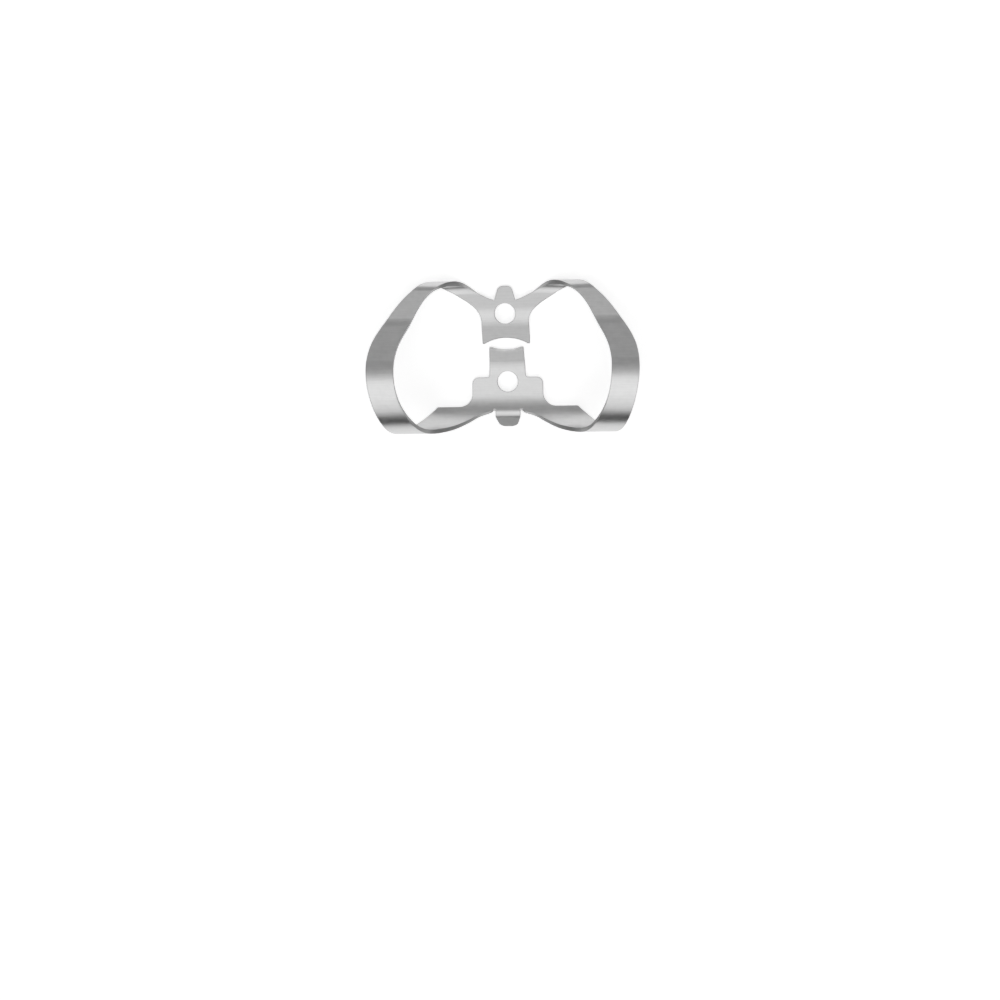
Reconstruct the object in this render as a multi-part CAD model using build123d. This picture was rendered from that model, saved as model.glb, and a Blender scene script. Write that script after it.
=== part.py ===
from build123d import *
import os
from math import asin, atan2, cos, degrees, radians, sin

# A double-bow rubber dam clamp: one sheet of spring steel, stamped and bent.
# Millimetres. All bends run along X, and the clamp is symmetric about X = 0.
# Distances along the sheet are taken on its middle surface, from the edge of jaw one to the tip of jaw two.

sheet_thickness = 0.5

# Jaw one: a wide blade with a hollow biting edge, and the neck behind it
blade_length = 2.54
blade_half_width = 2.86
blade_hollow = 0.85
neck_bend_radius = 3.24
neck_bend_angle = 38
neck_length = 1.63

# Fold that turns the arms of jaw one back over it, and the bows that spring from it
fold_radius = 1.2
fold_angle = 173
bow_neck_length = 3.34
shoulder_radius = 3.7
shoulder_angle = 16.5
bow_radius = 5.74
bow_angle = 101
heel_radius = 4.26

# Jaw two: a shouldered plate with a narrow beak
beak_bend_radius = 3.0
beak_bend_angle = 29.5
beak_length = 1.86
beak_half_width = 2.0
beak_root_half_width = 2.2
beak_root_radius = 0.35
beak_hollow = 0.37
plate_half_width = 4.3
plate_reach = 1.95
plate_corner_radius = 0.75
notch_depth = 1.58
notch_radius = 1.6

# Opening between the two jaws: along the blade, and across it
jaw_gap = 0.4
jaw_lift = 0.5
tip_land = 0.2

# Round holes for the forceps, one in each jaw
hole_diameter = 2.5
hole_1_share = 0.654
hole_2_share = 0.571

# Tabs that hold the rubber sheet: flat on jaw one, bent down on jaw two
tab_1_length = 1.7
tab_1_root_half_width = 1.25
tab_1_end_half_width = 0.8
tab_2_length = 1.75
tab_2_root_half_width = 1.5
tab_2_end_half_width = 1.0
tab_2_bend_radius = 0.6
tab_2_bend_angle = 76
tab_rounding = 0.9

# Outline of the bows: stretch of the sheet, share of that stretch, inner and outer half-width
bow_outline = [
    ("neck", 0.54, 1.35, 4.79),
    ("fold", 0.06, 3.37, 6.35),
    ("fold", 0.60, 6.15, 9.10),
    ("bow_neck", 0.12, 8.93, 11.42),
    ("shoulder", 0.40, 11.02, 14.08),
    ("bow_rise", 0.55, 12.47, 15.71),
    ("bow", 0.11, 12.90, 16.16),
    ("bow", 0.455, 12.40, 15.68),
    ("bow", 0.80, 10.94, 14.58),
    ("heel", 0.14, 9.00, 13.15),
    ("heel", 0.40, 6.25, 11.40),
    ("heel", 0.57, 4.42, 10.22),
    ("heel", 0.746, 1.80, 8.90),
]
neck_flare_share = 0.7
neck_flare_half_width = 3.15
arm_run_out_half_width = 6.9

# Cutters run past the metal by this much, and follow the outline at stations about this far apart
overrun = 0.15
station_spacing = 0.7
fewest_spans = 4

# The heel takes up whatever turn is left, so that the beak ends parallel to the blade
heel_angle = 360 + neck_bend_angle - fold_angle + shoulder_angle - bow_angle - beak_bend_angle


def bend(radius, turn):
    """Length on the middle surface, and turn, of one bend."""
    return radius * radians(abs(turn)), turn


def shift(length, turn, heading):
    """How far one stretch carries the sheet in Y and Z."""
    before, after = radians(heading), radians(heading + turn)
    if turn == 0:
        return length * cos(before), length * sin(before)
    radius = length / radians(turn)
    return radius * (sin(after) - sin(before)), radius * (cos(before) - cos(after))


# Stretches of the sheet in order, each with its length and turn; the two straight ones that close the
# ring have no length until close_ring finds it
stretches = {
    "blade": (blade_length, 0),
    "neck_bend": bend(neck_bend_radius, -neck_bend_angle),
    "neck": (neck_length, 0),
    "fold": bend(fold_radius, fold_angle),
    "bow_neck": (bow_neck_length, 0),
    "shoulder": bend(shoulder_radius, -shoulder_angle),
    "bow_rise": (0, 0),
    "bow": bend(bow_radius, bow_angle),
    "heel": bend(heel_radius, heel_angle),
    "plate": (0, 0),
    "beak_bend": bend(beak_bend_radius, beak_bend_angle),
    "beak": (beak_length, 0),
}


def follow_bends():
    """Where each stretch starts, and the sheet ends: distance along the sheet, Y, Z and heading."""
    starts = {}
    distance = y = z = heading = 0.0
    for name, (length, turn) in stretches.items():
        starts[name] = (distance, y, z, heading)
        step_y, step_z = shift(length, turn, heading)
        distance, y, z, heading = distance + length, y + step_y, z + step_z, heading + turn
    starts["end"] = (distance, y, z, heading)
    return starts


def close_ring():
    """Lengths of the bow's rise and of jaw two's plate that leave the stated gap between the jaws."""
    open_ring = follow_bends()
    missing_y = -jaw_gap - open_ring["end"][1]
    missing_z = jaw_lift - open_ring["end"][2]
    rise, plate = (radians(open_ring[name][3]) for name in ("bow_rise", "plate"))
    spread = sin(plate - rise)
    rise_length = (missing_y * sin(plate) - missing_z * cos(plate)) / spread
    plate_length = (missing_z * cos(rise) - missing_y * sin(rise)) / spread
    return rise_length, plate_length


bow_rise_length, plate_length = close_ring()
stretches["bow_rise"] = (bow_rise_length, 0)
stretches["plate"] = (plate_length, 0)
starts = follow_bends()


def along(name, share):
    """Distance along the sheet to a share of one stretch."""
    return starts[name][0] + share * stretches[name][0]


def locate(name, distance):
    """Y, Z and heading of the middle surface, on one stretch or on its run past its ends."""
    start, y, z, heading = starts[name]
    length, turn = stretches[name]
    part_turn = turn * (distance - start) / length
    step_y, step_z = shift(distance - start, part_turn, heading)
    return y + step_y, z + step_z, heading + part_turn


def across(name, distance):
    """Plane square to the sheet's run, with local X along the bends."""
    y, z, heading = locate(name, distance)
    return Plane((0, y, z), x_dir=(1, 0, 0), z_dir=(0, cos(radians(heading)), sin(radians(heading))))


def flat(name, distance):
    """Plane touching the middle surface: local X along the bends, local Y along the sheet."""
    y, z, heading = locate(name, distance)
    return Plane((0, y, z), x_dir=(1, 0, 0), z_dir=(0, -sin(radians(heading)), cos(radians(heading))))


def bent_sheet(name, share_from, share_to, low, high):
    """One stretch of plain sheet, between two shares of it and two places along X."""
    faces = []
    for offset in (sheet_thickness / 2, -sheet_thickness / 2):
        points = []
        for share in (share_from, (share_from + share_to) / 2, share_to):
            y, z, heading = locate(name, along(name, share))
            points.append((low, y - offset * sin(radians(heading)), z + offset * cos(radians(heading))))
        faces.append(ThreePointArc(*points) if stretches[name][1] else Line(points[0], points[-1]))
    ends = [Line(faces[0] @ place, faces[1] @ place) for place in (0, 1)]
    return extrude(make_face(faces + ends), high - low, dir=(1, 0, 0))


# Flat outline of the bows, as curves of distance along the sheet and half-width
inner_points = [(along(name, share), inner) for name, share, inner, _ in bow_outline]
outer_points = [(along(name, share), outer) for name, share, _, outer in bow_outline]
blade_end = (along("blade", 1), blade_half_width)
flare = (along("neck_bend", neck_flare_share), neck_flare_half_width)
arm_run_out = (along("plate", 0) + overrun, arm_run_out_half_width)
inner_edge = Spline(*inner_points)
outer_edge = Spline(blade_end, flare, *outer_points, arm_run_out)

blank_half_width = max(outer for _, outer in outer_points) + overrun
cutter_reach = (sheet_thickness / 2 + fold_radius) / 2


def half_width(edge, distance):
    """Half-width at a distance along the sheet, held at the curve's ends beyond them."""
    first, last = edge @ 0, edge @ 1
    inside = min(max(distance, first.X), last.X)
    if inside in (first.X, last.X):
        return first.Y if inside == first.X else last.Y
    return edge.find_intersection_points(Axis((inside, 0, 0), (0, 1, 0)))[0].Y


def cut_sheet(name, share_from, share_to, both_sides):
    """One stretch of the sheet with its edges cut square to its faces along the flat outline."""
    first, last = along(name, share_from), along(name, share_to)
    count = max(fewest_spans, round((last - first) / station_spacing))
    distances = [first + (last - first) * step / count for step in range(count + 1)]
    sections = []
    for distance in [first - overrun] + distances + [last + overrun]:
        high = half_width(outer_edge, distance)
        low = -high if both_sides else half_width(inner_edge, distance)
        middle = across(name, distance) * Pos((low + high) / 2, 0)
        sections.append(middle * Rectangle(high - low, 2 * cutter_reach))
    low = -blank_half_width if both_sides else 0
    return bent_sheet(name, share_from, share_to, low, blank_half_width) & loft(sections)


def hollow_cutter(edge_half_width, hollow):
    """Round cutter, on a jaw's own plane, that leaves a hollow edge between two flat corners."""
    chord = edge_half_width - tip_land
    radius = (chord**2 + hollow**2) / (2 * hollow)
    return Pos(0, hollow - radius) * Cylinder(radius, 2 * cutter_reach)


def hole_cutter():
    return Cylinder(hole_diameter / 2, 2 * cutter_reach)


def tab_face(length, root_half_width, end_half_width):
    """Flat outline of a tab: tapered sides, and an end rounded over a share of its width."""
    sides = Polygon(
        (-root_half_width, 0),
        (root_half_width, 0),
        (end_half_width, length),
        (-end_half_width, length),
        align=None,
    )
    return fillet(sides.vertices().sort_by(Axis.Y)[-2:], tab_rounding * end_half_width)


def make_jaw_one(root_share):
    """Blade, neck bend and the start of the neck, with the forceps hole in the bend."""
    jaw = bent_sheet("blade", 0, 1, -blade_half_width, blade_half_width)
    jaw += [cut_sheet("neck_bend", 0, 1, True), cut_sheet("neck", 0, root_share, True)]
    jaw -= flat("blade", 0) * hollow_cutter(blade_half_width, blade_hollow)
    return jaw - flat("neck_bend", along("neck_bend", hole_1_share)) * hole_cutter()


def jaw_two_side():
    """Flat cutter beside jaw two, on the plane of its plate: arm notch, plate corner and beak."""
    beyond = plate_length + beak_length + beak_bend_radius
    side = FilletPolyline(
        (blank_half_width, -notch_depth),
        (plate_half_width, -notch_depth),
        (plate_half_width, plate_reach),
        (beak_root_half_width, plate_reach),
        (beak_half_width, beyond),
        (blank_half_width, beyond),
        radius=[notch_radius, plate_corner_radius, beak_root_radius, beak_root_radius],
    )
    return make_face(side.edges() + [Line(side @ 1, side @ 0)])


def make_jaw_two(root_share):
    """End of the heel, plate, beak bend and beak, with the forceps hole in the plate."""
    jaw = cut_sheet("heel", root_share, 1, True)
    for name in ("plate", "beak_bend", "beak"):
        jaw += bent_sheet(name, 0, 1, -arm_run_out_half_width, arm_run_out_half_width)
    side = extrude(flat("plate", along("plate", 0)) * jaw_two_side(), heel_radius / 2, both=True)
    jaw -= side
    jaw -= mirror(side, Plane.YZ)
    jaw -= flat("beak", along("beak", 1)) * Rot(0, 0, 180) * hollow_cutter(beak_half_width, beak_hollow)
    return jaw - flat("plate", along("plate", hole_2_share)) * hole_cutter()


root_1_share, root_2_share = bow_outline[0][1], bow_outline[-1][1]
jaw_one = make_jaw_one(root_1_share)
jaw_two = make_jaw_two(root_2_share)
bow = cut_sheet("neck", root_1_share, 1, False)
for stretch in ("fold", "bow_neck", "shoulder", "bow_rise", "bow"):
    bow += cut_sheet(stretch, 0, 1, False)
bow += cut_sheet("heel", 0, root_2_share, False)

# Tab one carries on in the plane of the neck
tab_1_plane = flat("neck", along("neck", root_1_share))
tab_1_outline = tab_face(tab_1_length, tab_1_root_half_width, tab_1_end_half_width)
tab_1 = extrude(tab_1_plane * tab_1_outline, sheet_thickness / 2, both=True)

# Tab two leaves the heel backwards and bends away from the bows
root_y, root_z, root_heading = locate("heel", along("heel", root_2_share))
starts["tab_2_bend"] = (0, root_y, root_z, root_heading + 180)
stretches["tab_2_bend"] = bend(tab_2_bend_radius, tab_2_bend_angle)
tab_2_plane = flat("tab_2_bend", along("tab_2_bend", 1))
tab_2_outline = tab_face(tab_2_length, tab_2_root_half_width, tab_2_end_half_width)
tab_2 = bent_sheet("tab_2_bend", 0, 1, -tab_2_root_half_width, tab_2_root_half_width)
tab_2 += extrude(tab_2_plane * tab_2_outline, sheet_thickness / 2, both=True)

clamp = jaw_one + jaw_two + bow + mirror(bow, Plane.YZ) + tab_1 + tab_2

# At rest the clamp lies on the outside of the beak bend and on the end of tab one
beak_axis = flat("beak_bend", along("beak_bend", 0)).from_local_coords((0, 0, beak_bend_radius))
tab_1_foot = tab_1_plane.from_local_coords((0, tab_1_length, -sheet_thickness / 2))
support = tab_1_foot - beak_axis
beak_outer_radius = beak_bend_radius + sheet_thickness / 2
lie_angle = -asin(beak_outer_radius / support.length) - atan2(support.Z, support.Y)
upright = Rot(degrees(lie_angle), 0, 0)
box = (upright * clamp).bounding_box()
settle = Pos(-box.center().X, -box.center().Y, -box.min.Z) * upright
clamp = settle * clamp

clamp.label = "clamp"
os.makedirs("parts", exist_ok=True)
export_step(clamp, "parts/clamp.step")

for name, stretch, share in (("hole 1", "neck_bend", hole_1_share), ("hole 2", "plate", hole_2_share)):
    hole = settle * flat(stretch, along(stretch, share)).location
    print(name, hole.position, hole.z_axis.direction)
print(clamp.volume, clamp.is_valid, len(clamp.solids()), len(clamp.faces()), degrees(lie_angle))
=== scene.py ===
import math

import bpy
from mathutils import Matrix, Vector

# A rubber dam clamp of satin stainless steel, lying in a light tent and seen from above.
# Blender works in metres, so millimetres are written with MM.
MM = 0.001

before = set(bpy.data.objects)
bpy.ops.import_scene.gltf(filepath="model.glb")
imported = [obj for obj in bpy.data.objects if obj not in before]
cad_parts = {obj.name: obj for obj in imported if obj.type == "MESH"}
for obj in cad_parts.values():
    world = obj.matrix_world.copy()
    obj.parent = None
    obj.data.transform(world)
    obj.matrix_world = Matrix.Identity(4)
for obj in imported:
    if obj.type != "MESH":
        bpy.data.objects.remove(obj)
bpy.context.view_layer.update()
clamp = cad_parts["clamp"]

# Steel: a faint mottle, and grinding lines drawn out along the bends; scales are in waves per metre
STEEL_GREY = (0.56, 0.6)
STEEL_ROUGHNESS = (0.285, 0.325)
MOTTLE_SCALE = 1500
MOTTLE_DETAIL = 4
LINE_SCALE = 8000
LINE_DETAIL = 3
LINE_SQUEEZE = (0.04, 1, 1)
LINE_CONTRAST = 0.1
LINE_DEPTH = 0.013 * MM
LINE_STRENGTH = 0.5

# Edges: rounded by tumbling, and darker and rougher where the sheet was sheared. How far a normal
# leans along X tells a face of the sheet from a sheared edge.
EDGE_RADIUS = 0.12 * MM
EDGE_SAMPLES = 6
FACE_LEAN = 0.2
SHEARED_LEAN = 0.6
SHEARED_DARKENING = 0.16
SHEARED_ROUGHNESS = 0.16

# Jaws: left duller than the polished bows, with distances from the middle along X
DULL_WITHIN = 4 * MM
POLISHED_BEYOND = 9 * MM
DULL_ROUGHNESS = 0.1

# Floor: pale paint with a faint grain, and the glow that lifts it to white where it is seen
FLOOR_SIZE = 2.0
FLOOR_GREY = (0.86, 0.88)
GRAIN_SCALE = 300
GRAIN_DETAIL = 2
FLOOR_LIFT = 0.52

# Values that Blender's noise mostly stays between
NOISE_SPAN = (0.3, 0.7)

# Light tent: degrees from straight up, negative towards -Y, and the radiance there
TENT = [
    (-180, 0.55),
    (-112, 0.30),
    (-104, 0.01),
    (-66, 0.01),
    (-58, 0.42),
    (-51, 0.96),
    (-34, 1.06),
    (-12, 1.24),
    (26, 1.24),
    (36, 0.72),
    (44, 0.48),
    (60, 0.36),
    (78, 0.36),
    (92, 0.80),
    (180, 0.55),
]
# Share of that radiance left towards the tent's two ends, against how far a direction leans along X
TENT_ENDS = [(0.0, 1.0), (0.4, 1.0), (0.75, 0.1), (1.0, 0.1)]

# Camera: where it stands round the clamp, with angles in degrees, and where the clamp sits in a
# picture of 1000 px square
PICTURE_PX = 1000
SENSOR_MM = 36
PX_PER_MM = 8.36
CLAMP_PX = (504.4, 362.4)
CAMERA_DISTANCE = 270 * MM
CAMERA_CLIP_START = 10 * MM
CAMERA_TILT = 15.5
CAMERA_LEAN = 4.1
CAMERA_ROLL = -2.0
PIVOT = Vector((0, 0, 5 * MM))


class Nodes:
    """Fills the node tree of a material or a world."""

    def __init__(self, owner):
        owner.use_nodes = True
        self.tree = owner.node_tree
        self.tree.nodes.clear()

    def feed(self, socket, value):
        """Links a socket to another node's output, or sets it to a plain value."""
        if isinstance(value, bpy.types.NodeSocket):
            self.tree.links.new(value, socket)
        else:
            socket.default_value = value

    def add(self, kind, sockets=None, **settings):
        """New node, with its settings and with what its sockets are fed."""
        node = self.tree.nodes.new(kind)
        for name, value in settings.items():
            setattr(node, name, value)
        for name, value in (sockets or {}).items():
            self.feed(node.inputs[name], value)
        return node

    def calculate(self, operation, *values):
        """One operation on sockets and plain numbers."""
        node = self.add("ShaderNodeMath", operation=operation)
        for socket, value in zip(node.inputs, values):
            self.feed(socket, value)
        return node.outputs["Value"]

    def split(self, vector):
        """X, Y and Z of a vector."""
        return self.add("ShaderNodeSeparateXYZ", {"Vector": vector}).outputs

    def ramp(self, source, stops):
        """Colour ramp through (place, grey) stops."""
        node = self.add("ShaderNodeValToRGB", {"Fac": source})
        elements = node.color_ramp.elements
        while len(elements) < len(stops):
            elements.new(1.0)
        for element, (place, grey) in zip(elements, stops):
            element.position = place
            element.color = (grey, grey, grey, 1)
        return node.outputs["Color"]

    def noise(self, vector, scale, detail):
        """Noise with scale in waves per metre."""
        node = self.add("ShaderNodeTexNoise", {"Vector": vector, "Scale": scale, "Detail": detail})
        return node.outputs["Fac"]

    def spread(self, noise, low_and_high):
        """Noise brought to the span between two values."""
        return self.ramp(noise, list(zip(NOISE_SPAN, low_and_high)))


def grinding_lines(nodes, place):
    """Noise drawn out along X, the way the bends run."""
    squeezed = nodes.add("ShaderNodeMapping", {"Vector": place, "Scale": LINE_SQUEEZE})
    return nodes.noise(squeezed.outputs["Vector"], LINE_SCALE, LINE_DETAIL)


def sheared_edges(nodes, normal):
    """1 on the sheared edges and 0 on the faces, which don't lean along X because the bends run along it."""
    lean = nodes.calculate("ABSOLUTE", nodes.split(normal)["X"])
    return nodes.ramp(lean, [(FACE_LEAN, 0.0), (SHEARED_LEAN, 1.0)])


def dull_jaws(nodes, place):
    """1 on the jaws, falling smoothly to 0 on the bows at either side."""
    from_middle = nodes.calculate("ABSOLUTE", nodes.split(place)["X"])
    fed = {"Value": from_middle, "From Min": POLISHED_BEYOND, "From Max": DULL_WITHIN}
    dull = nodes.add("ShaderNodeMapRange", fed, interpolation_type="SMOOTHSTEP")
    return dull.outputs["Result"]


def satin_steel():
    """Satin stainless steel: ground along the bends, darker at its sheared edges and duller on the jaws."""
    material = bpy.data.materials.new("satin_steel")
    nodes = Nodes(material)
    coordinates = nodes.add("ShaderNodeTexCoord").outputs
    place = coordinates["Object"]
    lines = grinding_lines(nodes, place)
    mottle = nodes.noise(place, MOTTLE_SCALE, MOTTLE_DETAIL)
    sheared = sheared_edges(nodes, coordinates["Normal"])
    dull = dull_jaws(nodes, place)

    grey = nodes.spread(mottle, STEEL_GREY)
    grey = nodes.calculate("MULTIPLY_ADD", lines, LINE_CONTRAST, grey)
    grey = nodes.calculate("MULTIPLY_ADD", sheared, -SHEARED_DARKENING, grey)
    rough = nodes.spread(mottle, STEEL_ROUGHNESS)
    rough = nodes.calculate("MULTIPLY_ADD", dull, DULL_ROUGHNESS, rough)
    rough = nodes.calculate("MULTIPLY_ADD", sheared, SHEARED_ROUGHNESS, rough)

    rounded = nodes.add("ShaderNodeBevel", {"Radius": EDGE_RADIUS}, samples=EDGE_SAMPLES)
    ground = nodes.add("ShaderNodeBump", {
        "Strength": LINE_STRENGTH,
        "Distance": LINE_DEPTH,
        "Height": lines,
        "Normal": rounded.outputs["Normal"],
    })
    shader = nodes.add("ShaderNodeBsdfPrincipled", {
        "Metallic": 1.0,
        "Base Color": grey,
        "Roughness": rough,
        "Normal": ground.outputs["Normal"],
    })
    nodes.add("ShaderNodeOutputMaterial", {"Surface": shader.outputs["BSDF"]})
    return material


def white_floor():
    """Pale floor that keeps the clamp's shadow and is lifted to white where it is seen."""
    material = bpy.data.materials.new("white_floor")
    nodes = Nodes(material)
    place = nodes.add("ShaderNodeTexCoord").outputs["Object"]
    grain = nodes.noise(place, GRAIN_SCALE, GRAIN_DETAIL)
    paint = nodes.add("ShaderNodeBsdfDiffuse", {"Color": nodes.spread(grain, FLOOR_GREY)})

    path = nodes.add("ShaderNodeLightPath").outputs
    seen = path["Is Camera Ray"]
    for ray in ("Is Glossy Ray", "Is Transmission Ray"):
        seen = nodes.calculate("MAXIMUM", seen, path[ray])
    glow = nodes.add("ShaderNodeEmission", {"Strength": nodes.calculate("MULTIPLY", seen, FLOOR_LIFT)})

    both = nodes.add("ShaderNodeAddShader")
    nodes.feed(both.inputs[0], paint.outputs["BSDF"])
    nodes.feed(both.inputs[1], glow.outputs["Emission"])
    nodes.add("ShaderNodeOutputMaterial", {"Surface": both.outputs["Shader"]})
    return material


def light_tent():
    """World that is a studio light tent: its radiance changes with the angle round the X axis."""
    world = bpy.data.worlds.new("light_tent")
    bpy.context.scene.world = world
    nodes = Nodes(world)
    direction = nodes.split(nodes.add("ShaderNodeTexCoord").outputs["Generated"])

    # The ramp takes one full turn, with straight up at its middle
    angle = nodes.calculate("ARCTAN2", direction["Y"], direction["Z"])
    turn = nodes.calculate("MULTIPLY_ADD", angle, 1 / math.tau, 0.5)
    stops = [(from_up / 360 + 0.5, radiance) for from_up, radiance in TENT]
    lean = nodes.calculate("ABSOLUTE", direction["X"])
    background = nodes.add("ShaderNodeBackground", {
        "Color": nodes.ramp(turn, stops),
        "Strength": nodes.ramp(lean, TENT_ENDS),
    })
    nodes.add("ShaderNodeOutputWorld", {"Surface": background.outputs["Background"]})


def add_floor():
    """Floor that the clamp lies on, which is no part of the model."""
    bpy.ops.mesh.primitive_plane_add(size=FLOOR_SIZE)
    floor = bpy.context.object
    floor.name = "floor"
    floor.data.materials.append(white_floor())


def add_camera():
    """Camera at the photograph's viewing angle, aimed so that the clamp sits where it does in the picture."""
    tilt, lean = math.radians(CAMERA_TILT), math.radians(CAMERA_LEAN)
    back = Vector((math.sin(lean), math.sin(tilt) * math.cos(lean), math.cos(tilt) * math.cos(lean)))
    roll = Matrix.Rotation(math.radians(CAMERA_ROLL), 3, back)
    right = roll @ Vector((0, 1, 0)).cross(back).normalized()
    up = back.cross(right)
    off_right = (PICTURE_PX / 2 - CLAMP_PX[0]) / PX_PER_MM * MM
    off_up = (CLAMP_PX[1] - PICTURE_PX / 2) / PX_PER_MM * MM
    aim = PIVOT + right * off_right + up * off_up

    data = bpy.data.cameras.new("camera")
    data.sensor_width = SENSOR_MM
    data.lens = PX_PER_MM * CAMERA_DISTANCE / MM / PICTURE_PX * SENSOR_MM
    data.clip_start = CAMERA_CLIP_START
    camera = bpy.data.objects.new("camera", data)
    bpy.context.collection.objects.link(camera)
    camera.location = PIVOT + back * CAMERA_DISTANCE
    away = (camera.location - aim).normalized()
    side = up.cross(away).normalized()
    axes = Matrix((side, away.cross(side), away)).transposed()
    camera.rotation_euler = axes.to_euler()
    bpy.context.scene.camera = camera


clamp.data.materials.clear()
clamp.data.materials.append(satin_steel())
light_tent()
add_floor()
add_camera()
bpy.context.scene.view_settings.view_transform = "Standard"
